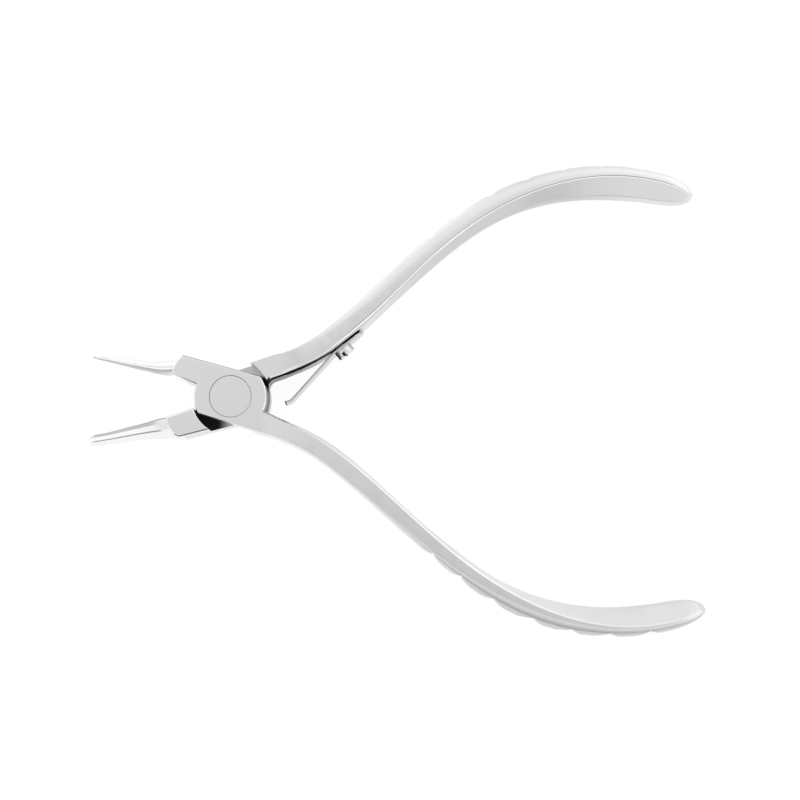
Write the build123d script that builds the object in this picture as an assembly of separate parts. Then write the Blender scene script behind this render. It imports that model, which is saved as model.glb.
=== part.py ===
from build123d import *
import math
import os

# ---------------------------------------------------------------- dimensions, mm
THICK = 8.0            # thickness of the joint and of the handles along Z
MID = THICK / 2        # lap plane of the joint
LAP_GAP = 0.05         # running gap between the two lapped plates
FRONT_DISC_R = 7.20    # round of the front hub plate
REAR_DISC_R = 7.60     # round of the rear hub plate
FRONT_SHOULDER_R = 7.72  # shoulder in the rear half that the front plate turns in
REAR_SHOULDER_R = 7.90   # shoulder in the front half that the rear plate turns in
CORNER_R = 1.6         # rounded corner of each plate beside the other half's handle
EDGE = 0.40            # rounded edges of the hub outline
CREST = 0.36           # bevel along the inner crest of each handle

HEAD_R = 4.15          # flush pivot head
HEAD_T = 2.0
HEAD_GAP = 0.05        # radial running clearance of the head
SHANK_R = 2.75
SHANK_GAP = 0.04       # radial running clearance of the shank in the front half
PEEN_R = 3.5           # peened rear end of the pivot, flush with the back
PEEN_T = 1.1

SPRING_T = 0.42        # leaf spring strip
SPRING_FOOT_W = 5.0
SPRING_TIP_W = 4.0
SEAT_ANG = 38.5        # direction of the spring seat along the upper handle
SEAT_X, SEAT_Y = 21.48, 10.75   # handle crest beside the spring screw
SEAT_DEPTH = 0.56      # face of the screw boss, inward of that crest point
SEAT_FLOOR = 0.28      # seat round the boss, a gap behind the strip
BOSS_R = 1.6
FOOT_FAR = 5.4         # foot beyond the screw, away from the joint
FOOT_NEAR = 1.9        # foot beyond the screw, towards the joint
FLEX_GAP = 0.06
BLADE_BEND = 9.9       # blade's set away from the foot
BLADE_BEND_R = 4.0
BLADE_RUN = 11.55
TIP_CURL = 48.0
TIP_CURL_R = 2.1

SCREW_HEAD_R = 1.83
SCREW_HEAD_T = 1.42
SCREW_SHANK_R = 1.0
SCREW_DEPTH = 2.9
SCREW_SLOT_W = 0.6
SCREW_SLOT_T = 0.7
SCREW_SLOT_TURN = 17.0  # slot, turned from the pivot direction

NOTCH_DEPTH = 0.72     # finger scallops on the palm side of the handles
NOTCH_REACH = 2.7

# Handle stations: crest x, y, heading, flat face width, outer reach,
# inner reach, half thickness, bevel. The first one is the square root at the hub.
UPPER = [
    (10.48, 4.57, 20.9, 4.14, 4.14, 0.00, 4.00, 0.36),
    (14.19, 6.15, 26.6, 3.56, 4.08, 0.36, 4.00, 0.36),
    (18.62, 8.36, 32.9, 3.53, 4.29, 0.08, 4.00, 0.40),
    (23.44, 11.84, 38.9, 3.10, 4.54, 0.09, 4.00, 0.78),
    (28.62, 16.48, 43.4, 2.44, 4.59, 0.22, 4.00, 0.68),
    (33.56, 21.49, 45.0, 1.72, 4.46, 0.56, 4.00, 0.52),
    (39.18, 27.28, 43.5, 0.96, 4.06, 1.07, 4.00, 0.36),
    (45.24, 32.61, 38.5, 0.52, 3.90, 1.31, 4.00, 0.26),
    (51.85, 37.22, 31.2, 0.40, 3.87, 1.57, 4.00, 0.20),
    (58.96, 40.87, 23.1, 0.36, 3.69, 2.14, 4.00, 0.18),
    (66.44, 43.39, 13.9, 0.35, 3.27, 3.02, 3.99, 0.17),
    (73.21, 44.51, 4.8, 0.35, 2.93, 3.72, 3.97, 0.17),
    (79.10, 44.56, -3.8, 0.35, 2.64, 3.96, 3.94, 0.17),
    (84.53, 43.81, -12.1, 0.35, 2.43, 3.76, 3.86, 0.17),
    (88.31, 42.80, -17.5, 0.31, 2.25, 3.30, 3.57, 0.15),
    (90.37, 42.06, -20.6, 0.25, 1.90, 2.64, 2.86, 0.12),
    (91.68, 41.53, -22.5, 0.18, 1.42, 1.89, 2.04, 0.09),
    (92.41, 41.20, -23.6, 0.11, 0.90, 1.16, 1.25, 0.06),
    (92.72, 41.06, -24.1, 0.05, 0.42, 0.52, 0.56, 0.03),
]
LOWER = [
    (10.34, -4.56, -23.8, 3.74, 3.74, 0.00, 4.00, 0.36),
    (13.95, -6.33, -28.4, 3.42, 3.67, 0.40, 4.00, 0.30),
    (18.20, -8.88, -33.4, 3.18, 3.45, 0.68, 4.00, 0.24),
    (23.01, -12.35, -38.0, 3.20, 3.55, 0.72, 4.00, 0.22),
    (28.34, -16.80, -41.4, 3.08, 3.56, 0.56, 4.00, 0.22),
    (33.52, -21.50, -42.6, 2.85, 3.47, 0.50, 4.00, 0.22),
    (39.46, -26.90, -41.5, 2.50, 3.31, 0.62, 4.00, 0.22),
    (45.64, -32.06, -37.7, 2.05, 3.30, 0.84, 4.00, 0.22),
    (52.26, -36.70, -32.1, 1.35, 3.44, 1.00, 4.00, 0.20),
    (59.28, -40.54, -25.0, 0.75, 3.33, 1.72, 4.00, 0.18),
    (66.65, -43.34, -16.3, 0.45, 2.87, 2.66, 3.99, 0.17),
    (73.35, -44.74, -7.1, 0.35, 2.30, 3.46, 3.97, 0.17),
    (79.24, -45.02, 1.7, 0.35, 1.98, 3.93, 3.94, 0.17),
    (84.71, -44.44, 10.5, 0.35, 1.80, 4.00, 3.86, 0.17),
    (89.02, -43.37, 17.2, 0.31, 1.66, 3.60, 3.57, 0.15),
    (91.13, -42.62, 20.4, 0.25, 1.38, 2.95, 2.86, 0.12),
    (92.48, -42.07, 22.6, 0.18, 1.02, 2.15, 2.04, 0.09),
    (93.21, -41.74, 23.7, 0.11, 0.65, 1.35, 1.25, 0.06),
    (93.51, -41.60, 24.3, 0.05, 0.32, 0.62, 0.56, 0.03),
]
# Where the finger scallops are cut, as x along each handle.
UPPER_NOTCH_X = [39.5, 45.2, 51.6, 58.9, 66.4, 73.9, 82.2]
LOWER_NOTCH_X = [39.67, 45.09, 51.57, 59.31, 67.05, 74.51, 82.37]

# Beak stations: outer edge x, y, inner edge x, y, half thickness.
UPPER_BEAK = [
    (-8.20, 7.75, -9.60, 3.95, 3.75),
    (-10.30, 8.02, -12.00, 4.68, 3.60),
    (-12.20, 7.74, -13.50, 4.74, 3.10),
    (-14.30, 7.46, -15.10, 5.02, 2.55),
    (-16.80, 7.52, -17.20, 5.52, 2.10),
    (-20.20, 8.00, -20.50, 6.30, 1.60),
    (-24.20, 8.70, -24.40, 7.28, 1.05),
    (-27.20, 8.90, -27.30, 8.00, 0.62),
    (-28.00, 8.78, -28.03, 8.22, 0.40),
]
LOWER_BEAK = [
    (-8.60, -7.45, -10.80, -3.70, 3.75),
    (-11.20, -7.95, -13.10, -4.20, 3.50),
    (-12.90, -7.92, -14.20, -4.36, 3.05),
    (-15.00, -7.96, -15.70, -4.74, 2.60),
    (-17.40, -8.14, -17.90, -5.33, 2.22),
    (-21.30, -8.70, -21.75, -6.22, 1.92),
    (-25.00, -9.20, -25.40, -7.08, 1.62),
    (-27.30, -9.45, -27.60, -7.60, 1.38),
    (-28.00, -9.28, -28.15, -7.98, 0.95),
    (-28.25, -8.95, -28.30, -8.25, 0.42),
]

os.makedirs("parts", exist_ok=True)


# ---------------------------------------------------------------- handles
def inward(heading, side):
    """Unit vector in the plane, from the crest towards the other handle."""
    a = math.radians(heading)
    return (math.sin(a), -math.cos(a)) if side > 0 else (-math.sin(a), math.cos(a))


def bulge(point, base, reach, zed):
    """Convex palm side of a section, from its front edge round to its back edge."""
    a = 1.1 * reach
    s = 1.6 * reach - 0.5 * a
    b = 0.62 * zed
    ctrl = [
        (base, zed),
        (base - a, zed),
        (base - s, b),
        (base - s, -b),
        (base - a, -zed),
        (base, -zed),
    ]
    if reach == 0.0:
        ctrl = [(base, zed * (1 - 0.4 * i)) for i in range(6)]
    return [point(o, z) for o, z in ctrl]


def handle_section(station, side):
    """Flat front and back, a bevelled crest, a slanted inner face and a round inner edge."""
    x, y, heading, flat, out, inn, half, e = station
    n = inward(heading, side)

    def point(off, z):
        return (x + n[0] * off, y + n[1] * off, MID + z)

    # inner face from the crest at (0, half) to where the inner edge starts to round
    fo, fz = 0.88 * inn, 0.43 * half
    length = math.hypot(fo, half - fz)
    # the bevel ends on the inner face
    g = min(e, CREST)
    bo, bz = g * fo / length, half - g * (half - fz) / length
    ko = (4 * inn - fo) / 3
    kz = fz - (ko - fo) * (half - fz) / fo if fo > 1e-6 else fz / 3
    outer = bulge(point, -flat, out - flat, half)
    return Wire(
        [
            Line(point(-e, half), point(-flat, half)).edge(),
            Bezier(*outer).edge(),
            Line(point(-flat, -half), point(-e, -half)).edge(),
            Line(point(-e, -half), point(bo, -bz)).edge(),
            Line(point(bo, -bz), point(fo, -fz)).edge(),
            Bezier(point(fo, -fz), point(ko, -kz), point(ko, kz), point(fo, fz)).edge(),
            Line(point(fo, fz), point(bo, bz)).edge(),
            Line(point(bo, bz), point(-e, half)).edge(),
        ]
    )


def at_x(stations, x, col):
    """Value of one station column at a given x along the handle."""
    for p, q in zip(stations, stations[1:]):
        if p[0] <= x <= q[0]:
            t = (x - p[0]) / (q[0] - p[0])
            return p[col] + t * (q[col] - p[col])
    raise ValueError(x)


def notch(stations, side, x):
    """Prism that cuts one scallop: two convex lobe flanks meeting in a line."""
    cx, cy, heading, out = x, at_x(stations, x, 1), at_x(stations, x, 2), at_x(stations, x, 4)
    n = inward(heading, side)
    a = math.radians(heading)
    d = (math.cos(a), math.sin(a))

    def point(along, up):
        # up is measured outward from the palm surface
        off = -(out + up)
        return (cx + n[0] * off + d[0] * along, cy + n[1] * off + d[1] * along)

    r = NOTCH_REACH
    # The palm surface falls away from the tangent by about this much.
    sag = 0.06
    left, right = point(-r, 0.05 - sag), point(r, 0.05 - sag)
    floor = point(0, -NOTCH_DEPTH)
    lobe_l, lobe_r = point(-0.42 * r, -0.27), point(0.42 * r, -0.27)
    edges = [
        ThreePointArc(left, lobe_l, floor),
        ThreePointArc(floor, lobe_r, right),
        Polyline(right, point(r, 2.5), point(-r, 2.5), left),
    ]
    face = make_face(Curve() + edges)
    return Pos(0, 0, -1) * extrude(face, amount=THICK + 2, dir=(0, 0, 1))


def handle(stations, side, notches):
    body = Solid.make_loft([handle_section(s, side) for s in stations], False)
    # The crest path leaves its chord, so the x of a scallop is moved to the palm side.
    for x in notches:
        heading = at_x(stations, x, 2)
        n = inward(heading, side)
        out = at_x(stations, x, 4)
        body = body - notch(stations, side, x + n[0] * out)
    return body


# ---------------------------------------------------------------- jaws
def round_section(station):
    ox, oy, ix, iy, half = station
    cx, cy = (ox + ix) / 2, (oy + iy) / 2
    ux, uy = (ox - ix) / 2, (oy - iy) / 2

    def point(off, z):
        return (cx + ux * off, cy + uy * off, MID + z)

    a, b = 1.02, 0.62
    s = 1.6 - 0.5 * a
    sides = []
    for sign in (1, -1):
        sides.append(
            [
                point(0, half * sign),
                point(a * sign, half * sign),
                point(s * sign, b * half * sign),
                point(s * sign, -b * half * sign),
                point(a * sign, -half * sign),
                point(0, -half * sign),
            ]
        )
    return Wire([Bezier(*sides[0]).edge(), Bezier(*sides[1]).edge()])


def square_section(station):
    """Flat inner side and front, bevelled towards the outer edge."""
    ox, oy, ix, iy, half = station
    cx, cy = (ox + ix) / 2, (oy + iy) / 2
    w = math.hypot(ox - ix, oy - iy) / 2
    ux, uy = (ox - cx) / w, (oy - cy) / w
    c = 0.12 * min(w, half)
    front = [
        (w, 0.03 * half),
        (0.78 * w, 0.28 * half),
        (0.36 * w, 0.75 * half),
        (0.19 * w, 0.855 * half),
        (-0.45 * w, half),
        (-w + c, half),
        (-w, half - c),
    ]
    ring = front + [(o, -z) for o, z in reversed(front)]
    pts = [(cx + ux * o, cy + uy * o, MID + z) for o, z in ring]
    return Wire([Line(p, q).edge() for p, q in zip(pts, pts[1:] + pts[:1])])


# ---------------------------------------------------------------- hub plates
def hub_outline(disc_r, edges, band):
    """Plate outline: the arms, and the round of the joint between the arms' lines."""
    round_part = Circle(disc_r) & make_face(Polyline(*band, close=True))
    return round_part + make_face(Curve() + edges)


def beyond(p, q, x):
    """Point at x on the line through p and q."""
    return (x, p[1] + (q[1] - p[1]) * (x - p[0]) / (q[0] - p[0]))


def broken(solid, keep):
    """Rounds the front and back outline edges that keep() picks."""
    picked = [
        e
        for e in solid.edges()
        if abs(e.center().Z - THICK) < 1e-3 or abs(e.center().Z) < 1e-3
    ]
    picked = [e for e in picked if keep(e.center())]
    return fillet(picked, EDGE)


def root_bevels(p, q, side, start):
    """Bevels along the inner edge of a handle's root, from a start distance along p to q."""
    length = math.hypot(q[0] - p[0], q[1] - p[1])
    d = ((q[0] - p[0]) / length, (q[1] - p[1]) / length)
    n = (d[1], -d[0]) if side > 0 else (-d[1], d[0])
    m = 0.3
    corners = [(-CREST - m, m), (m, -CREST - m), (m, m)]
    cuts = []
    for face_z, up in ((THICK, 1), (0.0, -1)):
        pts = [
            (p[0] + d[0] * start + n[0] * o, p[1] + d[1] * start + n[1] * o, face_z + up * z)
            for o, z in corners
        ]
        cuts.append(
            extrude(make_face(Polyline(*pts, close=True)), amount=length - start, dir=(d[0], d[1], 0))
        )
    return cuts


n_low = inward(LOWER[0][2], -1)
low_in = (LOWER[0][0], LOWER[0][1])
low_out = (low_in[0] - n_low[0] * LOWER[0][4], low_in[1] - n_low[1] * LOWER[0][4])
n_up = inward(UPPER[0][2], 1)
up_in = (UPPER[0][0], UPPER[0][1])
up_out = (up_in[0] - n_up[0] * UPPER[0][4], up_in[1] - n_up[1] * UPPER[0][4])

front_edges = [
    ThreePointArc((-11.64, 4.59), (-11.17, 6.50), (-9.45, 8.30)),
    Polyline(
        (-9.45, 8.30), (5.60, 4.14), (6.30, 0.0), (6.60, -2.80), low_in, low_out,
        (-5.80, -3.38), (-5.80, 2.00), (-6.79, 2.45), (-11.64, 4.59),
    ),
]
rear_edges = [
    ThreePointArc((-12.61, -4.03), (-12.30, -5.95), (-10.02, -8.00)),
    Polyline(
        (-10.02, -8.00), (5.80, -3.95), (6.60, 0.0), (6.60, 3.20), up_in, up_out,
        (-5.80, 3.40), (-5.80, -1.75), (-7.20, -2.24), (-12.61, -4.03),
    ),
]


def half_blank(disc_r, edges, band, on_outer_line):
    plate = extrude(hub_outline(disc_r, edges, band), amount=THICK)
    corner = [
        e
        for e in plate.edges().filter_by(Axis.Z)
        if 5.0 < e.center().X < 7.0 and abs(e.center().Y) > 3.0
        and abs(math.hypot(e.center().X, e.center().Y) - disc_r) < 0.05
    ]
    plate = fillet(corner, CORNER_R)
    root_x = 8.2

    def keep(c):
        if c.X > root_x:
            return False
        return not on_outer_line(c)

    return broken(plate, keep)


# The two straight edges that run into the handles' outer sides stay square.
top_f, low_f = ((-9.45, 8.30), (5.60, 4.14)), ((-5.80, -3.38), low_out)
front_band = [
    beyond(*top_f, -9), beyond(*top_f, 9), beyond(*low_f, 9), beyond(*low_f, -9)
]
low_r, top_r = ((-10.02, -8.00), (5.80, -3.95)), ((-5.80, 3.40), up_out)
rear_band = [
    beyond(*top_r, -9), beyond(*top_r, 9), beyond(*low_r, 9), beyond(*low_r, -9)
]
front_blank = half_blank(
    FRONT_DISC_R, front_edges, front_band, lambda c: c.Y < -4.0 and -2 < c.X < 9
)
rear_blank = half_blank(
    REAR_DISC_R, rear_edges, rear_band, lambda c: c.Y > 4.0 and -2 < c.X < 9
)

front_beak = Solid.make_loft([round_section(s) for s in UPPER_BEAK], False)
rear_beak = Solid.make_loft([square_section(s) for s in LOWER_BEAK], False)

front_half = front_blank + handle(LOWER, -1, LOWER_NOTCH_X) + front_beak
rear_half = rear_blank + handle(UPPER, 1, UPPER_NOTCH_X) + rear_beak


def column(r, z0, z1):
    return Pos(0, 0, z0) * extrude(Circle(r), amount=z1 - z0)


# The lap: each half loses the other's half of the thickness round the pivot.
front_half -= column(REAR_SHOULDER_R, -2, MID + LAP_GAP / 2)
rear_half -= column(FRONT_SHOULDER_R, MID - LAP_GAP / 2, THICK + 2)

for cut in root_bevels((6.60, 3.20), up_in, 1, 1.85):
    rear_half -= cut
for cut in root_bevels((6.60, -2.80), low_in, -1, 0.0):
    front_half -= cut

# Broken front edge of the shoulder beside the front plate, and the same at the back.
rear_half -= Pos(0, 0, THICK - 0.18) * Cone(
    FRONT_SHOULDER_R - 0.02, FRONT_SHOULDER_R + 0.28, 0.30,
    align=(Align.CENTER, Align.CENTER, Align.MIN),
)
front_half -= Pos(0, 0, -0.12) * Cone(
    REAR_SHOULDER_R + 0.28, REAR_SHOULDER_R - 0.02, 0.30,
    align=(Align.CENTER, Align.CENTER, Align.MIN),
)

# Pivot bores.
front_half -= column(HEAD_R + HEAD_GAP, THICK - HEAD_T - 0.02, THICK + 1)
front_half -= column(SHANK_R + SHANK_GAP, 0, THICK)
mouth = HEAD_R + HEAD_GAP
front_half -= Pos(0, 0, THICK - 0.06) * Cone(
    mouth - 0.06, mouth + 0.12, 0.18, align=(Align.CENTER, Align.CENTER, Align.MIN)
)
rear_half -= column(SHANK_R, -1, THICK)
rear_half -= Cone(PEEN_R, SHANK_R, PEEN_T, align=(Align.CENTER, Align.CENTER, Align.MIN))

# ---------------------------------------------------------------- pivot
pivot = column(SHANK_R, 0, THICK - HEAD_T) + column(HEAD_R, THICK - HEAD_T, THICK)
pivot += Cone(PEEN_R, SHANK_R, PEEN_T, align=(Align.CENTER, Align.CENTER, Align.MIN))
rim = [
    e
    for e in pivot.edges().filter_by(GeomType.CIRCLE)
    if abs(e.center().Z - THICK) < 1e-3
]
pivot = chamfer(rim, 0.10)

# ---------------------------------------------------------------- leaf spring
seat_a = math.radians(SEAT_ANG)
u = (math.cos(seat_a), math.sin(seat_a))          # along the handle, outward
v = (math.sin(seat_a), -math.cos(seat_a))         # away from the handle


def seat(along, off, z=0.0):
    return (
        SEAT_X + u[0] * along + v[0] * (SEAT_DEPTH + off),
        SEAT_Y + u[1] * along + v[1] * (SEAT_DEPTH + off),
        MID + z,
    )


def seat_plane(along, off):
    return Plane(origin=seat(along, off), x_dir=(u[0], u[1], 0), z_dir=(v[0], v[1], 0))


# Flat seat milled into the upper handle, with a low boss round the tapped hole.
seat_cut = seat_plane(-1.45, SEAT_FLOOR - SEAT_DEPTH) * Box(
    13.9, 9.0, 3.0, align=(Align.CENTER, Align.CENTER, Align.MIN)
)
boss = seat_plane(0, SEAT_FLOOR - SEAT_DEPTH - 1.5) * Cylinder(
    BOSS_R, 1.5 + SEAT_DEPTH - SEAT_FLOOR, align=(Align.CENTER, Align.CENTER, Align.MIN)
)
rear_half -= seat_cut
rear_half += boss
tapped = seat_plane(0, 0) * Pos(0, 0, -SCREW_DEPTH) * Cylinder(
    SCREW_SHANK_R, SCREW_DEPTH + 1, align=(Align.CENTER, Align.CENTER, Align.MIN)
)
rear_half -= tapped

foot_len = FOOT_FAR + FOOT_NEAR
foot = seat_plane((FOOT_FAR - FOOT_NEAR) / 2, 0) * Box(
    foot_len, SPRING_FOOT_W, SPRING_T, align=(Align.CENTER, Align.CENTER, Align.MIN)
)
far_corner = [
    e
    for e in foot.edges().filter_by(Axis((0, 0, 0), (v[0], v[1], 0)))
    if (e.center().X - SEAT_X) * u[0] + (e.center().Y - SEAT_Y) * u[1] > 0
]
foot = fillet(far_corner, SPRING_FOOT_W / 2 - 0.05)
foot -= seat_plane(0, 0) * Cylinder(SCREW_SHANK_R + 0.06, 4)

# The blade is a strip along a bend, a straight run and a curled tip.
heading = SEAT_ANG + 180.0
px, py, _ = seat(-FOOT_NEAR - FLEX_GAP, SPRING_T / 2)


path = []
steps = 6
for i in range(steps + 1):
    path.append((px, py, heading))
    if i < steps:
        turn = BLADE_BEND / steps
        step = BLADE_BEND_R * math.radians(turn)
        mid = math.radians(heading + turn / 2)
        px, py = px + step * math.cos(mid), py + step * math.sin(mid)
        heading += turn
run = math.radians(heading)
px, py = px + BLADE_RUN * math.cos(run), py + BLADE_RUN * math.sin(run)
path.append((px, py, heading))
for i in range(steps):
    turn = -TIP_CURL / steps
    step = TIP_CURL_R * math.radians(-turn)
    mid = math.radians(heading + turn / 2)
    px, py = px + step * math.cos(mid), py + step * math.sin(mid)
    heading += turn
    path.append((px, py, heading))


def side_of(p, off):
    a = math.radians(p[2])
    return (p[0] - math.sin(a) * off, p[1] + math.cos(a) * off)


h = SPRING_T / 2
near = [side_of(p, -h) for p in path]
far = [side_of(p, h) for p in path]
blade_face = make_face(
    Curve()
    + [
        ThreePointArc(near[0], near[3], near[6]),
        Line(near[6], near[7]),
        ThreePointArc(near[7], near[10], near[13]),
        Line(near[13], far[13]),
        ThreePointArc(far[13], far[10], far[7]),
        Line(far[7], far[6]),
        ThreePointArc(far[6], far[3], far[0]),
        Line(far[0], near[0]),
    ]
)
blade = Pos(0, 0, MID - SPRING_FOOT_W / 2) * extrude(
    blade_face, amount=SPRING_FOOT_W, dir=(0, 0, 1)
)
# The strip narrows towards its tip.
tip = path[13]
mid_run = math.radians(path[6][2])
blade_len = math.hypot(path[0][0] - tip[0], path[0][1] - tip[1]) + 1.0
taper_plane = Plane(
    origin=(path[0][0], path[0][1], MID),
    x_dir=(math.cos(mid_run), math.sin(mid_run), 0),
    z_dir=(-math.sin(mid_run), math.cos(mid_run), 0),
)
fw, tw = SPRING_FOOT_W / 2, SPRING_TIP_W / 2
taper = extrude(
    taper_plane
    * make_face(
        Polyline((-2, -fw), (0, -fw), (blade_len, -tw), (blade_len, tw), (0, fw), (-2, fw), close=True)
    ),
    amount=6,
    both=True,
)
blade = blade & taper

# ---------------------------------------------------------------- spring screw
head_plane = seat_plane(0, SPRING_T)
screw = head_plane * Cylinder(
    SCREW_HEAD_R, SCREW_HEAD_T, align=(Align.CENTER, Align.CENTER, Align.MIN)
)
top_rim = [
    e
    for e in screw.edges().filter_by(GeomType.CIRCLE)
    if (e.center().X - SEAT_X) * v[0] + (e.center().Y - SEAT_Y) * v[1]
    > SEAT_DEPTH + SPRING_T + 0.5
]
screw = fillet(top_rim, 0.25)
screw += head_plane * Pos(0, 0, -SPRING_T - SCREW_DEPTH + 0.3) * Cylinder(
    SCREW_SHANK_R, SPRING_T + SCREW_DEPTH - 0.3, align=(Align.CENTER, Align.CENTER, Align.MIN)
)
screw -= head_plane * Pos(0, 0, SCREW_HEAD_T - SCREW_SLOT_T) * Rot(0, 0, SCREW_SLOT_TURN) * Box(
    SCREW_SLOT_W, 6, 2, align=(Align.CENTER, Align.CENTER, Align.MIN)
)

# ---------------------------------------------------------------- export
nodes = {
    "front_half": front_half,
    "rear_half": rear_half,
    "pivot_rivet": pivot,
    "leaf_spring_foot": foot,
    "leaf_spring_blade": blade,
    "spring_screw": screw,
}
for name, shape in nodes.items():
    solids = shape.solids()
    print(name, "solids", len(solids), "volume", round(sum(s.volume for s in solids), 1))
    export_step(shape if len(solids) != 1 else solids[0], f"parts/{name}.step")
flex = seat(-FOOT_NEAR - FLEX_GAP / 2, 0)
print("flexure axis", [round(c, 3) for c in flex])
print("blade tip", [round(c, 3) for c in tip])
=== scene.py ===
import math

import bmesh
import bpy
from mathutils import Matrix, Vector


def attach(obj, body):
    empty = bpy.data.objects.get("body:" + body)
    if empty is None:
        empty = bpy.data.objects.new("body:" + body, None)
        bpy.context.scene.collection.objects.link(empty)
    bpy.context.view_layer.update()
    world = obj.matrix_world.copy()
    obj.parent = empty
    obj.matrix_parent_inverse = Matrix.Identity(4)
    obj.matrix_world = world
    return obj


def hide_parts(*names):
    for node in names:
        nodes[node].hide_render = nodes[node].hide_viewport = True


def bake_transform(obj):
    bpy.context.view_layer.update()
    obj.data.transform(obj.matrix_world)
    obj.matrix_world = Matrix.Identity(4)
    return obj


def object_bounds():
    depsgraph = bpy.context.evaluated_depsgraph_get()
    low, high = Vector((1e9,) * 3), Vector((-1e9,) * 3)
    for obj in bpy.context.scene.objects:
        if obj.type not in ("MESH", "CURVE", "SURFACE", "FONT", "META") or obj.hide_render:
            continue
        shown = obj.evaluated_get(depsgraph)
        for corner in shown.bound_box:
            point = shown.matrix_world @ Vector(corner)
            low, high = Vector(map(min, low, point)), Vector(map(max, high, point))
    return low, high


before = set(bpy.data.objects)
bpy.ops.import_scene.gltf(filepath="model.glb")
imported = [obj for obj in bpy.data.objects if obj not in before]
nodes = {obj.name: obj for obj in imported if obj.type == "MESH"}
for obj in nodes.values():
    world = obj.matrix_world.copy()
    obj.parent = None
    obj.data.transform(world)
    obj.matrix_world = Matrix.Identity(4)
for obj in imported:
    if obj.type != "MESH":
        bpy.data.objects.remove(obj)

MM = 0.001
# leaf spring and its screw, mm
SEAT_ANG = 38.5
SEAT = (21.48, 10.75)
SEAT_DEPTH, SPRING_T = 0.56, 0.42
FOOT_FAR, FOOT_NEAR, FLEX_GAP = 5.4, 1.9, 0.06
FOOT_W, TIP_W = 5.0, 4.0
BEND, BEND_R, RUN, CURL, CURL_R = 9.9, 4.0, 11.55, 48.0, 2.1
HEAD_T, SLOT_TURN = 1.42, 17.0

start_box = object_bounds()
scene = bpy.context.scene
scene.view_settings.view_transform = "Standard"
scene.view_settings.look = "None"


# ------------------------------------------------------------------ node helpers
class Graph:
    """Small helper for building shader trees."""

    def __init__(self, tree):
        self.tree = tree
        self.tree.nodes.clear()

    def add(self, kind, **props):
        node = self.tree.nodes.new(kind)
        for key, value in props.items():
            setattr(node, key, value)
        return node

    def link(self, a, b):
        self.tree.links.new(a, b)

    def math(self, op, a, b=None, clamp=False):
        node = self.add("ShaderNodeMath", operation=op, use_clamp=clamp)
        for i, v in enumerate((a, b)):
            if v is None:
                continue
            if isinstance(v, (int, float)):
                node.inputs[i].default_value = v
            else:
                self.link(v, node.inputs[i])
        return node.outputs[0]

    def ramp(self, value, lo, hi, a, b, smooth=True):
        node = self.add("ShaderNodeMapRange")
        node.interpolation_type = "SMOOTHSTEP" if smooth else "LINEAR"
        node.clamp = True if not smooth else node.clamp
        self.link(value, node.inputs["Value"])
        node.inputs["From Min"].default_value = lo
        node.inputs["From Max"].default_value = hi
        node.inputs["To Min"].default_value = a
        node.inputs["To Max"].default_value = b
        return node.outputs["Result"]

    def blend(self, fac, a, b):
        """Number a turning into number b as fac goes from 0 to 1."""
        node = self.add("ShaderNodeMix", data_type="FLOAT")
        for socket, v in ((node.inputs[0], fac), (node.inputs[2], a), (node.inputs[3], b)):
            if isinstance(v, (int, float)):
                socket.default_value = v
            else:
                self.link(v, socket)
        return node.outputs[0]

    def dot(self, vector, axis):
        node = self.add("ShaderNodeVectorMath", operation="DOT_PRODUCT")
        self.link(vector, node.inputs[0])
        node.inputs[1].default_value = axis
        return node.outputs["Value"]

    def noise(self, vector, scale, detail=2.0, rough=0.5, stretch=None):
        if stretch is not None:
            mapping = self.add("ShaderNodeMapping")
            mapping.inputs["Scale"].default_value = stretch
            self.link(vector, mapping.inputs["Vector"])
            vector = mapping.outputs["Vector"]
        node = self.add("ShaderNodeTexNoise")
        node.inputs["Scale"].default_value = scale
        node.inputs["Detail"].default_value = detail
        node.inputs["Roughness"].default_value = rough
        self.link(vector, node.inputs["Vector"])
        return node.outputs["Fac"]

    def mix(self, fac, a, b):
        node = self.add("ShaderNodeMix", data_type="RGBA")
        self.link(fac, node.inputs["Factor"])
        ia = [s for s in node.inputs if s.name == "A" and s.type == "RGBA"][0]
        ib = [s for s in node.inputs if s.name == "B" and s.type == "RGBA"][0]
        for s, v in ((ia, a), (ib, b)):
            if isinstance(v, tuple):
                s.default_value = (*v, 1.0)
            else:
                self.link(v, s)
        return [s for s in node.outputs if s.type == "RGBA"][0]


def grey(v, warm=0.0):
    return (v * (1 + warm), v, v * (1 - warm))


def steel(name, tone, rough, spread=0.015, grain=900.0, zones=None):
    """Satin stainless steel. zones, if given, adds polished and dark areas."""
    mat = bpy.data.materials.new(name)
    mat.use_nodes = True
    g = Graph(mat.node_tree)
    out = g.add("ShaderNodeOutputMaterial")
    bsdf = g.add("ShaderNodeBsdfPrincipled")
    g.link(bsdf.outputs[0], out.inputs["Surface"])
    bsdf.inputs["Metallic"].default_value = 1.0
    coord = g.add("ShaderNodeTexCoord").outputs["Object"]
    fine = g.noise(coord, grain * 7.0, 3.0, 0.6)
    broad = g.noise(coord, 60.0, 2.0, 0.5)
    base = g.mix(broad, grey(tone - 0.010), grey(tone + 0.010))
    speck = g.ramp(fine, 0.35, 0.65, 0.0, 1.0)
    base = g.mix(g.math("MULTIPLY", speck, 0.35), base, grey(tone + 0.02))
    roughness = g.ramp(fine, 0.3, 0.7, rough - spread, rough + spread)
    if zones is not None:
        # the zones give back a mask of dark places, painted shade among them, made a matt non-metal
        base, roughness, darkened = zones(g, coord, base, roughness)
        if darkened is not None:
            bare = g.math("SUBTRACT", 1.0, darkened, clamp=True)
            g.link(bare, bsdf.inputs["Metallic"])
            g.link(g.math("MULTIPLY", bare, 0.5), bsdf.inputs["Specular IOR Level"])
    g.link(base, bsdf.inputs["Base Color"])
    g.link(roughness, bsdf.inputs["Roughness"])
    return mat


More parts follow.
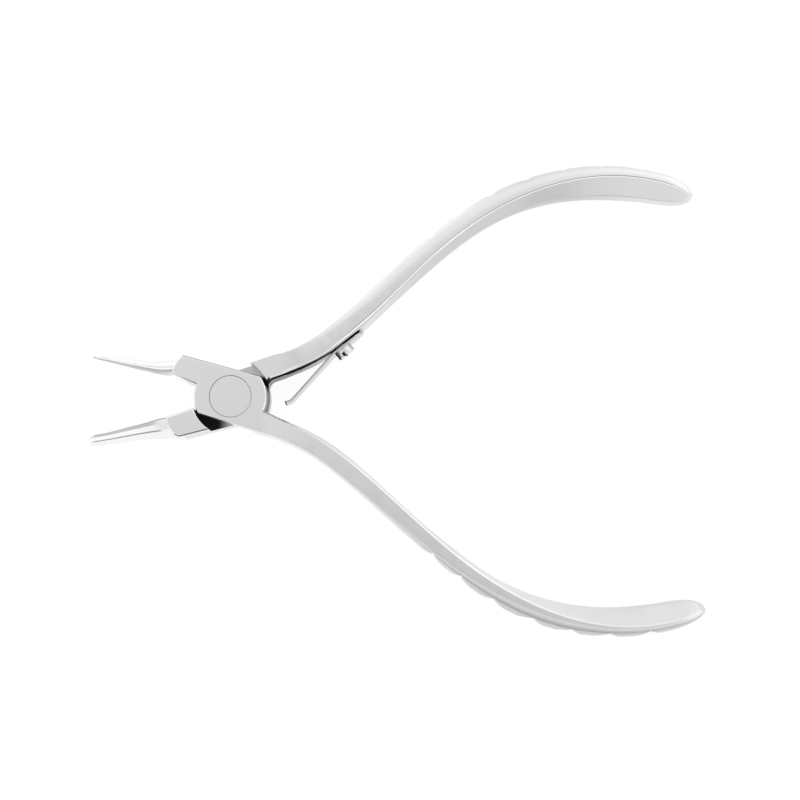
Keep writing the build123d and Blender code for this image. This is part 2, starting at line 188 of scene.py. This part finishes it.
def joint_zones(rear_side):
    """Polished beak and edges, painted shade in the dark places of the lap and the handle's root, and painted
    reflections on the handles.
    """

    def zones(g, coord, base, roughness):
        sep = g.add("ShaderNodeSeparateXYZ")
        g.link(coord, sep.inputs[0])
        x, y, z = sep.outputs
        if rear_side:
            # the handle's straight part is coloured darker than its end
            darker_part = g.math(
                "MULTIPLY", g.ramp(x, 9.0 * MM, 13.0 * MM, 0.0, 1.0), g.ramp(x, 82.0 * MM, 58.0 * MM, 0.0, 1.0)
            )
            base = g.mix(darker_part, base, grey(0.69))
            base = g.mix(g.ramp(x, 72.0 * MM, 88.0 * MM, 0.0, 1.0), base, grey(0.79))
        else:
            # and the lower handle is a little brighter at its root
            root = g.math(
                "MULTIPLY", g.ramp(x, 5.5 * MM, 8.0 * MM, 0.0, 1.0), g.ramp(x, 17.0 * MM, 10.0 * MM, 0.0, 1.0)
            )
            base = g.mix(root, base, grey(0.80))
        beak = g.ramp(x, -9.2 * MM, -9.6 * MM, 0.0, 1.0)
        below = g.ramp(z, 7.985 * MM, 7.955 * MM, 0.0, 1.0)
        polish = g.math("MULTIPLY", beak, below)
        roughness = g.blend(polish, roughness, 0.13)
        base = g.mix(polish, base, grey(0.88))
        edge = g.add("ShaderNodeAttribute", attribute_name="edge").outputs["Fac"]
        roughness = g.blend(edge, roughness, 0.20)
        base = g.mix(edge, base, grey(0.88 if rear_side else 0.78))
        # painted shade and dark reflections, chosen by the faces' direction
        shade_paint = g.add("ShaderNodeAttribute", attribute_name="shade_paint").outputs["Fac"]
        base = g.mix(shade_paint, base, grey(0.16))
        if rear_side:
            # ground floor of the lap, painted with shade where it lies deep in the recess
            level = g.math(
                "MULTIPLY",
                g.ramp(z, 3.90 * MM, 3.94 * MM, 0.0, 1.0),
                g.ramp(z, 4.06 * MM, 4.02 * MM, 0.0, 1.0),
            )
            near_jaw = g.ramp(x, 0.4 * MM, -2.8 * MM, 0.25, 1.0)
            by_height = g.math(
                "SUBTRACT", g.ramp(y, 0.6 * MM, 2.6 * MM, 0.42, 1.0), g.ramp(y, 4.0 * MM, 5.0 * MM, 0.0, 0.75)
            )
            near_handle = g.math("MULTIPLY", g.ramp(x, 2.5 * MM, 3.5 * MM, 0.0, 1.0), by_height)
            dark = g.math("MULTIPLY", level, g.math("MAXIMUM", near_jaw, near_handle))
            base = g.mix(dark, base, grey(0.012))
            roughness = g.blend(dark, roughness, 0.5)
            # painted highlight along the outer edge of the handle's straight part
            lit = g.add("ShaderNodeAttribute", attribute_name="lit").outputs["Fac"]
            base = g.mix(lit, base, grey(0.86))
            # crest bevel: painted reflections, a dark line along the front face, bright below it, then satin
            rim = g.add("ShaderNodeAttribute", attribute_name="rim").outputs["Fac"]
            lower = g.math("SUBTRACT", 1.0, g.ramp(rim, 0.40, 0.62, 0.0, 1.0))
            lower = g.math("MULTIPLY", g.math("MULTIPLY", lower, edge), g.ramp(x, 46.0 * MM, 36.0 * MM, 0.0, 1.0))
            lower = g.math("MULTIPLY", lower, g.ramp(x, 12.0 * MM, 15.0 * MM, 0.0, 1.0))
            bevel_on = g.ramp(x, 20.0 * MM, 24.0 * MM, 0.0, 1.0)
            base = g.mix(lower, base, grey(0.54))
            wide = g.math("ADD", rim, g.ramp(x, 38.0 * MM, 60.0 * MM, 0.0, 0.24))
            line = g.math("MULTIPLY", g.math("MULTIPLY", g.ramp(wide, 0.78, 0.88, 0.0, 1.0), edge), bevel_on)
            base = g.mix(line, base, grey(0.20))
            # satin inner side of the bow, darkened with painted shade where it faces down and inward
            bow = g.add("ShaderNodeAttribute", attribute_name="bow").outputs["Fac"]
            across = g.math("MULTIPLY", g.ramp(x, 28.0 * MM, 44.0 * MM, 0.0, 1.0), g.ramp(x, 74.0 * MM, 58.0 * MM, 0.0, 1.0))
            base = g.mix(g.math("MULTIPLY", bow, across), base, grey(0.61))
            # and painted shade on its steep lip, fading towards the handle's end
            lip = g.add("ShaderNodeAttribute", attribute_name="lip").outputs["Fac"]
            lip = g.math("MULTIPLY", lip, g.ramp(x, 26.0 * MM, 40.0 * MM, 0.0, 1.0))
            lip = g.math("MULTIPLY", lip, g.ramp(x, 84.0 * MM, 64.0 * MM, 0.15, 1.0))
            base = g.mix(lip, base, grey(0.57))
            # painted shade on the side of the handle's root, with a painted shadow line under its crest
            root_side = g.add("ShaderNodeAttribute", attribute_name="inner").outputs["Fac"]
            inner = g.math("MULTIPLY", root_side, g.ramp(x, 22.0 * MM, 10.0 * MM, 0.0, 1.0))
            base = g.mix(inner, base, grey(0.10))
            depth = g.math("SUBTRACT", z, g.ramp(x, 9.5 * MM, 13.5 * MM, 0.0, 1.05 * MM))
            painted_shadow = g.math("MULTIPLY", root_side, g.ramp(depth, 4.70 * MM, 4.95 * MM, 0.0, 1.0))
            painted_shadow = g.math("MULTIPLY", painted_shadow, g.ramp(x, 20.4 * MM, 19.6 * MM, 0.0, 1.0))
            # painted shade in the rounded corner at the handle's root
            corner = g.math("MULTIPLY", edge, g.ramp(x, 8.0 * MM, 7.6 * MM, 0.0, 1.0))
            corner = g.math("MULTIPLY", corner, g.ramp(x, 6.4 * MM, 6.9 * MM, 0.0, 1.0))
            corner = g.math("MULTIPLY", corner, g.ramp(y, 1.2 * MM, 1.8 * MM, 0.0, 1.0))
            painted_shadow = g.math("MAXIMUM", painted_shadow, corner)
            # and painted shadow in the gap behind the spring's foot
            behind = g.add("ShaderNodeAttribute", attribute_name="gap").outputs["Fac"]
            along = g.dot(coord, (math.cos(math.radians(SEAT_ANG)), math.sin(math.radians(SEAT_ANG)), 0.0))
            far = SEAT[0] * math.cos(math.radians(SEAT_ANG)) + SEAT[1] * math.sin(math.radians(SEAT_ANG))
            behind = g.math(
                "MULTIPLY", behind, g.ramp(along, (far + 5.2) * MM, (far + 4.6) * MM, 0.0, 1.0)
            )
            behind = g.math("MULTIPLY", behind, g.ramp(z, 7.40 * MM, 7.10 * MM, 0.0, 1.0))
            painted_shadow = g.math("MAXIMUM", painted_shadow, behind)
            base = g.mix(painted_shadow, base, grey(0.015))
            roughness = g.blend(painted_shadow, roughness, 0.45)
            return base, roughness, g.math("MAXIMUM", painted_shadow, g.math("MULTIPLY", inner, 0.55))
        return base, roughness, None

    return zones


def strip_zones(g, coord, base, roughness):
    """Dark cut end of the spring strip."""
    cut = g.add("ShaderNodeAttribute", attribute_name="cut").outputs["Fac"]
    return g.mix(cut, base, grey(0.02)), g.blend(cut, roughness, 0.5), cut


def slot_zone(g, coord, base, roughness):
    """Painted shade inside the screw's slot, and painted dark reflections at the ends of its head."""
    a, t = math.radians(SEAT_ANG), math.radians(SLOT_TURN)
    across = g.dot(coord, (math.cos(a) * math.cos(t), math.sin(a) * math.cos(t), math.sin(t)))
    centre = (SEAT[0] * math.cos(a) + SEAT[1] * math.sin(a)) * math.cos(t) + 4.0 * math.sin(t)
    outward = g.dot(coord, (math.sin(a), -math.cos(a), 0.0))
    face = SEAT[0] * math.sin(a) - SEAT[1] * math.cos(a) + SEAT_DEPTH + SPRING_T + HEAD_T
    side = g.math("ABSOLUTE", g.math("SUBTRACT", across, centre * MM))
    inside = g.math(
        "MULTIPLY",
        g.ramp(side, 0.325 * MM, 0.305 * MM, 0.0, 1.0),
        g.ramp(outward, (face - 0.75) * MM, (face - 0.70) * MM, 0.0, 1.0),
    )
    along = g.dot(coord, (math.cos(a), math.sin(a), 0.0))
    middle = SEAT[0] * math.cos(a) + SEAT[1] * math.sin(a)
    ends = g.math(
        "MAXIMUM",
        g.ramp(along, (middle - 1.30) * MM, (middle - 1.55) * MM, 0.0, 1.0),
        g.ramp(along, (middle + 1.40) * MM, (middle + 1.75) * MM, 0.0, 0.6),
    )
    inside = g.math("MAXIMUM", inside, ends)
    return g.mix(inside, base, grey(0.02)), g.blend(inside, roughness, 0.5), None


satin_front = steel("satin_steel_front", 0.75, 0.30, zones=joint_zones(False))
satin_rear = steel("satin_steel_rear", 0.75, 0.30, zones=joint_zones(True))
pivot_mat = steel("pivot_steel", 0.75, 0.30)
spring_mat = steel("spring_steel", 0.54, 0.22, grain=600.0, zones=strip_zones)
screw_mat = steel("screw_steel", 0.66, 0.15, grain=500.0, zones=slot_zone)


# ------------------------------------------------------------------ skins of the two halves
def soft(v, lo, hi):
    t = min(1.0, max(0.0, (v - lo) / (hi - lo)))
    return t * t * (3 - 2 * t)


def painted_shade_of(node, c, n, thin):
    """Painted shade and dark reflections on the beaks, the hub's outline and the lower bow, 0 to 1."""
    if node == "front_half":
        if c.x < -9.8:
            return 0.55 * soft(-n.y, 0.50, 0.92) * (0.4 + 0.6 * soft(-c.x, 11.0, 15.0))
        if c.x > 20.0 and n.y < 0.0:
            return 0.30 * soft(-n.y, 0.03, 0.30) * soft(c.x, 25.0, 50.0)
        if c.x > 45.0:
            return 0.13 * soft(n.y, 0.05, 0.30) * soft(c.x, 60.0, 76.0)
        if c.x > 10.0 and c.y < 0.0:
            return 0.17 * soft(n.y, 0.20, 0.40) * soft(c.x, 10.0, 14.0) * (1 - 0.5 * soft(c.x, 18.0, 26.0))
        if n.x > 0.5 and abs(n.z) < 0.5 and 5.0 < c.x < 7.6 and -3.2 < c.y < 4.5:
            return 0.70
        if thin and c.y > 3.5 and c.x < 5.6:
            return 0.6 * soft(n.y, 0.20, 0.60)
        if thin and c.x < -5.8 and 1.8 < c.y < 5.2:
            return 0.7 * soft(-n.y, 0.10, 0.50)
    else:
        if n.x > 0.5 and abs(n.z) < 0.5 and 6.0 < c.x < 8.0 and -4.2 < c.y < 3.0:
            return 0.45
        if c.x < -11.0 and c.z < 7.8:
            return 0.40 * soft(n.z, 0.955, 0.975) + 0.35 * soft(n.y, 0.30, 0.60)
        if thin and -11.0 < c.x < -4.5 and c.y < -5.0:
            return soft(-n.y, 0.30, 0.60)
    return 0.0


def bright(node, c, n):
    """Painted highlight along the outer edge of the upper handle's straight part, 0 to 1."""
    if node == "front_half" or c.x < 14.0 or c.y < 0.0:
        return 0.0
    return soft(n.y, 0.38, 0.55) * soft(c.x, 14.0, 28.0) * (1 - soft(c.x, 44.0, 58.0))


def reach(p, segments):
    """Least distance from a point to line segments."""
    best = 1e9
    for a, b in segments:
        if abs(a.x - p.x) > 4.0 and abs(b.x - p.x) > 4.0:
            continue
        d = b - a
        t = max(0.0, min(1.0, (p - a).dot(d) / max(d.length_squared, 1e-12)))
        best = min(best, (p - a - d * t).length)
    return best


def skin(node, body, material):
    """Same surface as the solid, welded, with the solid's own normals and marks for finishes, painted shade and a
    painted highlight.
    """
    src = nodes[node].data
    where = [v.co.copy() for v in src.vertices]
    normal = [c.vector.copy() for c in src.corner_normals]
    faces = [list(p.vertices) for p in src.polygons]
    loops = [list(p.loop_indices) for p in src.polygons]

    # smooth patches of the solid: faces that share vertices
    group = list(range(len(where)))

    def root(i):
        while group[i] != i:
            group[i] = group[group[i]]
            i = group[i]
        return i

    for f in faces:
        for i in f[1:]:
            group[root(i)] = root(f[0])
    patches = {}
    for k, f in enumerate(faces):
        patches.setdefault(root(f[0]), []).append(k)

    edge, inner, gap, bow, lip, slim = ([0.0] * len(faces) for _ in range(6))
    flat, fronts, bevels = set(), set(), set()
    out = Vector((math.sin(math.radians(SEAT_ANG)), -math.cos(math.radians(SEAT_ANG)), 0.0))
    for key, ks in patches.items():
        pts = [where[i] / MM for k in ks for i in faces[k]]
        ns = [normal[l] for k in ks for l in loops[k]]
        zs, xs, nz = [p.z for p in pts], [p.x for p in pts], [abs(n.z) for n in ns]
        mean = sum(nz) / len(nz)
        area = sum(src.polygons[k].area for k in ks) / MM**2
        if all((n - ns[0]).length < 0.01 for n in ns):
            flat.add(key)
        thin = 0.10 < max(zs) - min(zs) < 0.60 and (min(zs) > 7.2 or max(zs) < 0.8)
        long = max(xs) - min(xs) > 60.0
        if long and mean > 0.92:
            fronts.add(key)
        if long and 0.5 < mean < 0.985 and area < 60.0:
            level = 1.0        # crest bevel of a handle
            bevels.add(key)
        elif thin and max(nz) - min(nz) < 0.12 and 0.4 < mean < 0.97:
            level = 1.0        # root bevel and shoulder edges
        elif thin and min(xs) > 6.4 and max(xs) < 8.9 and min(p.y for p in pts) > 0.8:
            level = 1.0        # round of the corner at the handle's root
        elif thin:
            level = 0.25       # rounded outline
        else:
            level = 0.0
        for k in ks:
            edge[k] = level
            slim[k] = 1.0 if thin else 0.0
            n = normal[loops[k][0]]
            c = sum((where[i] for i in faces[k]), Vector()) / len(faces[k]) / MM
            # sides of the handle's root, marked for painted shade
            if abs(n.z) < 0.55 and 6.0 < c.x < 21.0 and c.y > 1.5 and level == 0.0:
                if n.y < -0.6 or (c.x < 9.0 and c.y < 4.2 and n.y < 0.1):
                    inner[k] = 1.0
            # inner sides of the handle, marked for painted shade
            if long and level == 0.0 and n.y < -0.1:
                if mean < 0.42:
                    lip[k] = 1.0
                elif mean < 0.95:
                    bow[k] = 1.0
            # seat behind the spring's foot, marked for painted shadow
            if key in flat and n.dot(out) > 0.999 and 16.0 < c.x < 29.0 and c.y > 6.0:
                gap[k] = 1.0

    # weld, and share the normal across patches that run smoothly into each other
    spot = {}
    weld = []
    for i, p in enumerate(where):
        key = (round(p.x * 5e5), round(p.y * 5e5), round(p.z * 5e5))
        weld.append(spot.setdefault(key, len(spot)))
    place = [None] * len(spot)
    for i, w in enumerate(weld):
        if place[w] is None:
            place[w] = where[i]
    at = {}
    for k, f in enumerate(faces):
        for i, l in zip(f, loops[k]):
            at.setdefault(weld[i], {}).setdefault(root(i), normal[l])
    # place across a crest bevel: 1 along the front face, 0 along its other side
    across = {}
    for key in bevels:
        sides = {}
        for k in patches[key]:
            ring = [weld[i] for i in faces[k]]
            for a, b in zip(ring, ring[1:] + ring[:1]):
                if a != b:
                    pair = (min(a, b), max(a, b))
                    sides[pair] = sides.get(pair, 0) + 1
        touch = {w for pair in sides for w in pair if any(other in fronts for other in at[w])}
        near, far = [], []
        for pair, times in sides.items():
            if times == 1:
                ends = tuple(place[w] / MM for w in pair)
                (near if pair[0] in touch and pair[1] in touch else far).append(ends)
        for w in sorted({w for pair in sides for w in pair}):
            dn, df = reach(place[w] / MM, near), reach(place[w] / MM, far)
            across[key, w] = df / (dn + df) if dn + df > 1e-6 else 0.5
    tris, tri_normals, marks, rim, shade_paint, lit = [], [], [], [], [], []
    for k, f in enumerate(faces):
        ring = [weld[i] for i in f]
        if len(set(ring)) < 3:
            continue
        tris.append(ring)
        marks.append((edge[k], inner[k], gap[k], bow[k], lip[k]))
        centre = sum((where[i] for i in f), Vector()) / len(f) / MM
        for i, l in zip(f, loops[k]):
            n, total = normal[l], normal[l].copy()
            for key, other in at[weld[i]].items():
                if key != root(i) and n.dot(other) > 0.966:
                    total += other * (50.0 if key in flat else 1.0)
            if root(i) in flat:
                total = n
            tri_normals.append(total.normalized())
            rim.append(across.get((root(i), weld[i]), 0.0))
            shade_paint.append(painted_shade_of(node, centre, tri_normals[-1], slim[k] > 0.0))
            lit.append(bright(node, centre, tri_normals[-1]))
    mesh = bpy.data.meshes.new(node + "_skin")
    mesh.from_pydata(place, [], tris)
    for col, name in enumerate(("edge", "inner", "gap", "bow", "lip")):
        layer = mesh.attributes.new(name, "FLOAT", "FACE")
        layer.data.foreach_set("value", [m[col] for m in marks])
    for name, values in (("rim", rim), ("shade_paint", shade_paint), ("lit", lit)):
        layer = mesh.attributes.new(name, "FLOAT", "CORNER")
        layer.data.foreach_set("value", values)
    mesh.polygons.foreach_set("use_smooth", [True] * len(tris))
    mesh.normals_split_custom_set(tri_normals)
    mesh.update()
    mesh.materials.append(material)
    piece = bpy.data.objects.new(node + "_skin", mesh)
    scene.collection.objects.link(piece)
    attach(piece, body)
    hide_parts(node)
    return piece


front = skin("front_half", "front", satin_front)
rear = skin("rear_half", "rear", satin_rear)

for name, mat in (("pivot_rivet", pivot_mat), ("spring_screw", screw_mat)):
    nodes[name].data.materials.clear()
    nodes[name].data.materials.append(mat)

# ------------------------------------------------------------------ leaf spring, one strip
a0 = math.radians(SEAT_ANG)
u = (math.cos(a0), math.sin(a0))
v = (math.sin(a0), -math.cos(a0))


def seat(along, off):
    return (
        SEAT[0] + u[0] * along + v[0] * (SEAT_DEPTH + off),
        SEAT[1] + u[1] * along + v[1] * (SEAT_DEPTH + off),
    )


line = []
half_w = FOOT_W / 2
round_r = half_w - 0.05
# rounded far end, then the foot
for i in range(13):
    t = math.pi / 2 * i / 12
    s = FOOT_FAR - round_r * (1 - math.sin(t))
    w = half_w - round_r + round_r * math.cos(t)
    line.append((*seat(s, SPRING_T / 2), SEAT_ANG + 180, w))
line = line[::-1]
line[0] = (*line[0][:3], 0.05)
for s in (1.8, 0.6, -0.6, -1.3, -1.6, -FOOT_NEAR):
    line.append((*seat(s, SPRING_T / 2), SEAT_ANG + 180, half_w))
px, py = seat(-FOOT_NEAR - FLEX_GAP, SPRING_T / 2)
heading = SEAT_ANG + 180.0
blade = [(px, py, heading)]


def advance(turn, radius, steps):
    global px, py, heading
    for _ in range(steps):
        d = turn / steps
        step = radius * math.radians(abs(d))
        m = math.radians(heading + d / 2)
        px, py = px + step * math.cos(m), py + step * math.sin(m)
        heading += d
        blade.append((px, py, heading))


advance(BEND, BEND_R, 8)
for _ in range(10):
    m = math.radians(heading)
    px, py = px + RUN / 10 * math.cos(m), py + RUN / 10 * math.sin(m)
    blade.append((px, py, heading))
advance(-CURL, CURL_R, 8)
length = math.hypot(blade[0][0] - px, blade[0][1] - py) + 1.0
for bx, by, bh in blade:
    d = math.hypot(bx - blade[0][0], by - blade[0][1]) / length
    line.append((bx, by, bh, half_w + (TIP_W / 2 - half_w) * d))


def strip_mesh(name, rows, thick, edge):
    """Strip with softened long edges along a path of x, y, heading, half width."""
    bm = bmesh.new()
    rings = []
    for x, y, h, w in rows:
        a = math.radians(h)
        nx, ny = -math.sin(a), math.cos(a)
        e = min(edge, w * 0.4)
        t = thick / 2
        ring = [
            (t, w - e), (t - e, w), (-t + e, w), (-t, w - e),
            (-t, -w + e), (-t + e, -w), (t - e, -w), (t, -w + e),
        ]
        rings.append(
            [bm.verts.new(((x + nx * o) * MM, (y + ny * o) * MM, (4 + z) * MM)) for o, z in ring]
        )
    cut = bm.faces.layers.float.new("cut")
    for p, q in zip(rings, rings[1:]):
        for i in range(8):
            j = (i + 1) % 8
            bm.faces.new((p[i], p[j], q[j], q[i]))[cut] = 1.0 if q is rings[-1] else 0.0
    bm.faces.new(rings[0][::-1])
    bm.faces.new(rings[-1])[cut] = 1.0
    bmesh.ops.recalc_face_normals(bm, faces=bm.faces)
    for f in bm.faces:
        f.smooth = True
    for e in bm.edges:
        e.smooth = not (len(e.link_faces) == 2 and e.calc_face_angle(0.0) > math.radians(28))
    mesh = bpy.data.meshes.new(name)
    bm.to_mesh(mesh)
    bm.free()
    piece = bpy.data.objects.new(name, mesh)
    scene.collection.objects.link(piece)
    return piece


spring = strip_mesh("leaf_spring", line, SPRING_T, 0.07)
spring.data.materials.append(spring_mat)
flex = seat(-FOOT_NEAR - FLEX_GAP / 2, 0)
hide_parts("leaf_spring_foot", "leaf_spring_blade")
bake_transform(spring)

# ------------------------------------------------------------------ floor
low = start_box[0][2] if not isinstance(start_box, dict) else start_box["min"][2]
bpy.ops.mesh.primitive_plane_add(size=4.0, location=(0.03, 0.0, low - 0.00002))
floor = bpy.context.object
floor.name = "floor"
fmat = bpy.data.materials.new("floor_white")
fmat.use_nodes = True
g = Graph(fmat.node_tree)
out = g.add("ShaderNodeOutputMaterial")
bsdf = g.add("ShaderNodeBsdfPrincipled")
g.link(bsdf.outputs[0], out.inputs["Surface"])
fc = g.add("ShaderNodeTexCoord").outputs["Object"]
g.link(g.mix(g.noise(fc, 3.0), grey(0.11), grey(0.13)), bsdf.inputs["Base Color"])
bsdf.inputs["Roughness"].default_value = 0.9
bsdf.inputs["Specular IOR Level"].default_value = 0.0
bsdf.inputs["Emission Color"].default_value = (1, 1, 1, 1)
bsdf.inputs["Emission Strength"].default_value = 0.92
floor.data.materials.append(fmat)

# ------------------------------------------------------------------ light
world = bpy.data.worlds.new("studio")
scene.world = world
world.use_nodes = True
g = Graph(world.node_tree)
out = g.add("ShaderNodeOutputWorld")
bg = g.add("ShaderNodeBackground")
g.link(bg.outputs[0], out.inputs["Surface"])
vec = g.add("ShaderNodeTexCoord").outputs["Generated"]
sep = g.add("ShaderNodeSeparateXYZ")
g.link(vec, sep.inputs[0])
x, y, z = sep.outputs
# large soft sources round the camera, a dimmer patch where the camera stands, and a dark
# low strip on the near side
level = g.math("ADD", g.ramp(y, 0.12, 0.55, 0.92, 1.20), g.ramp(y, -0.20, -0.34, 0.0, 0.22))
level = g.math("SUBTRACT", level, g.ramp(y, -0.50, -0.64, 0.0, 0.26))
level = g.math("SUBTRACT", level, g.ramp(y, 0.75, 0.98, 0.0, 0.12))
beside = g.math("MULTIPLY", g.ramp(x, 0.30, 0.75, 0.0, 0.25), g.ramp(y, -0.60, -0.25, 0.0, 1.0))
level = g.math("ADD", level, beside)
above = g.math("ADD", g.math("MULTIPLY", y, 0.02), z)
level = g.blend(g.ramp(above, 0.956, 0.990, 0.0, 1.0), level, 0.87)
near = g.math("ADD", g.math("MULTIPLY", y, -0.09), g.math("MULTIPLY", z, 0.9959))
level = g.blend(g.ramp(near, 0.9744, 0.9976, 0.0, 1.0), level, 0.42)
strip = g.math(
    "MULTIPLY", g.ramp(z, 0.36, 0.24, 0.0, 1.0), g.ramp(y, -0.40, -0.62, 0.0, 1.0)
)
strip = g.math("MULTIPLY", strip, g.ramp(x, -0.50, -0.20, 0.45, 0.58))
strip = g.math("MULTIPLY", strip, g.ramp(x, 0.30, 0.10, 0.0, 1.0))
level = g.math("MULTIPLY", level, g.math("SUBTRACT", 1.0, strip))
g.link(level, bg.inputs["Strength"])
bg.inputs["Color"].default_value = (1.0, 1.0, 1.0, 1.0)

# ------------------------------------------------------------------ camera
TARGET = (33.542 * MM, -0.245 * MM, 4.0 * MM)
TILT = math.radians(7.0)
DIST = 0.320
cam = bpy.data.cameras.new("camera")
cam.sensor_width = 36.0
cam.lens = 72.0
cam.clip_start = 0.01
cam.clip_end = 20.0
cam.dof.use_dof = False
camera = bpy.data.objects.new("camera", cam)
scene.collection.objects.link(camera)
camera.location = (
    TARGET[0],
    TARGET[1] - DIST * math.sin(TILT),
    TARGET[2] + DIST * math.cos(TILT),
)
camera.rotation_euler = (TILT, 0.0, 0.0)
scene.camera = camera
